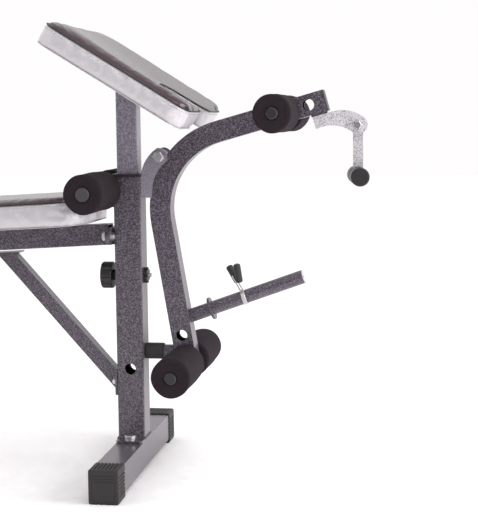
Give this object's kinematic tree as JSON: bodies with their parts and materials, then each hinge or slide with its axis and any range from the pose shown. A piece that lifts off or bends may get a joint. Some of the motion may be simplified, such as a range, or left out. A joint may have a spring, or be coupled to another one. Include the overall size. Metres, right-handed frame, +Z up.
{
  "type": "adjustable weight bench",
  "caption": "Flat weight bench with folding backrest, telescopic preacher curl pad, and a bent leg and curl lever with foam rollers and a plate horn.",
  "frame": {"origin": "bottom centre of the whole bench on the floor", "axes": "+Z up, +X forward from the backrest to the lever, +Y to the left of a person sitting on it"},
  "size_m": [1.5086, 0.48, 0.825],
  "materials": {
    "hammertone": "grey hammertone powder coat",
    "hammertone_silver": "silver hammertone powder coat",
    "chrome": "bright zinc or chrome plate",
    "roller_steel": "plain steel tube",
    "black_plastic": "moulded, matt",
    "grey_plastic": "moulded, satin",
    "black_foam": "closed-cell foam",
    "black_rubber": "ribbed rubber",
    "vinyl": "two-tone upholstery vinyl with piping",
    "plywood": "raw plywood"
  },
  "bodies": {
    "frame": {"front_post": "hammertone", "post_collar": "black_plastic", "hinge_ears": "hammertone", "pivot_bolt": "chrome", "post_brackets": "hammertone", "beam_bolt": "chrome", "main_beam": "hammertone", "beam_end_cap": "black_plastic", "diagonal_brace": "hammertone", "brace_bolts": "chrome", "lock_nut": "black_plastic", "rear_leg": "hammertone", "seat_brackets": "hammertone", "seat_board": "plywood", "seat_pad": "vinyl", "backrest_brackets": "hammertone", "hinge_pin": "chrome", "prop_ladder": "hammertone", "base_plates": "hammertone", "base_bolts": "chrome", "front_foot": "hammertone", "front_foot_caps": "black_rubber", "rear_foot": "hammertone", "rear_foot_caps": "black_rubber"},
    "preacher": {"inner_post": "hammertone_silver", "pad_bracket": "hammertone", "preacher_board": "plywood", "preacher_pad": "vinyl"},
    "lock": {"lock_knob": "black_plastic", "lock_rod": "chrome"},
    "lever": {"lever_tube": "hammertone", "weight_post": "hammertone", "weight_stop": "hammertone", "weight_post_cap": "grey_plastic", "bumper_cap": "black_rubber", "arm_end_cap": "grey_plastic", "curl_bracket": "hammertone_silver", "curl_bolt": "chrome"},
    "lower_roller": {"lower_roller_bar": "roller_steel", "lower_roller_foams": "black_foam", "lower_roller_caps": "grey_plastic"},
    "upper_roller": {"upper_roller_bar": "roller_steel", "upper_roller_foams": "black_foam", "upper_roller_caps": "grey_plastic"},
    "post_roller": {"post_roller_bar": "roller_steel", "post_roller_foams": "black_foam", "post_roller_caps": "grey_plastic"},
    "clip": {"clip_spring": "chrome", "clip_grips": "black_plastic"},
    "curl_handle": {"curl_strap": "hammertone_silver"},
    "curl_grip": {"curl_grips": "black_plastic"},
    "backrest": {"backrest_rails": "hammertone", "backrest_board": "plywood", "backrest_pad": "vinyl", "prop_pin": "chrome"},
    "prop": {"backrest_prop": "hammertone"}
  },
  "joints": [
    {"name": "preacher_lift", "type": "slide", "parent": "frame", "child": "preacher", "axis": [0, 0, 1], "range_m": [-0.02, 0.12]},
    {"name": "lock_spin", "type": "hinge", "parent": "frame", "child": "lock", "pos_m": [0.31292, 0, 0.365], "axis": [1, 0, 0], "continuous": true},
    {"name": "lever_swing", "type": "hinge", "parent": "frame", "child": "lever", "pos_m": [0.37292, 0, 0.583], "axis": [0, -1, 0], "range_deg": [0, 38]},
    {"name": "lower_roller_spin", "type": "hinge", "parent": "lever", "child": "lower_roller", "pos_m": [0.41692, 0, 0.205], "axis": [0, 1, 0], "continuous": true},
    {"name": "upper_roller_spin", "type": "hinge", "parent": "lever", "child": "upper_roller", "pos_m": [0.59692, 0, 0.658], "axis": [0, 1, 0], "continuous": true},
    {"name": "post_roller_spin", "type": "hinge", "parent": "frame", "child": "post_roller", "pos_m": [0.26892, 0, 0.523], "axis": [0, 1, 0], "continuous": true},
    {"name": "clip_slide", "type": "slide", "parent": "lever", "child": "clip", "axis": [0.9426, 0, 0.3338], "range_m": [-0.05, 0.1]},
    {"name": "curl_swing", "type": "hinge", "parent": "lever", "child": "curl_handle", "pos_m": [0.73092, 0, 0.6365], "axis": [0, 1, 0], "range_deg": [-110, 70]},
    {"name": "curl_grip_spin", "type": "hinge", "parent": "curl_handle", "child": "curl_grip", "pos_m": [0.73092, 0, 0.546], "axis": [0.1219, -0.9925, 0], "continuous": true},
    {"name": "backrest_tilt", "type": "hinge", "parent": "frame", "child": "backrest", "pos_m": [-0.08319, 0, 0.45359], "axis": [0, 1, 0], "range_deg": [0, 70]},
    {"name": "prop_swing", "type": "hinge", "parent": "backrest", "child": "prop", "pos_m": [-0.3728, 0, 0.43842], "axis": [0, 1, 0], "range_deg": [-140, 0]}
  ],
  "couplings": [
    {"joint": "prop_swing", "follows": "backrest_tilt", "ratio": -2}
  ]
}
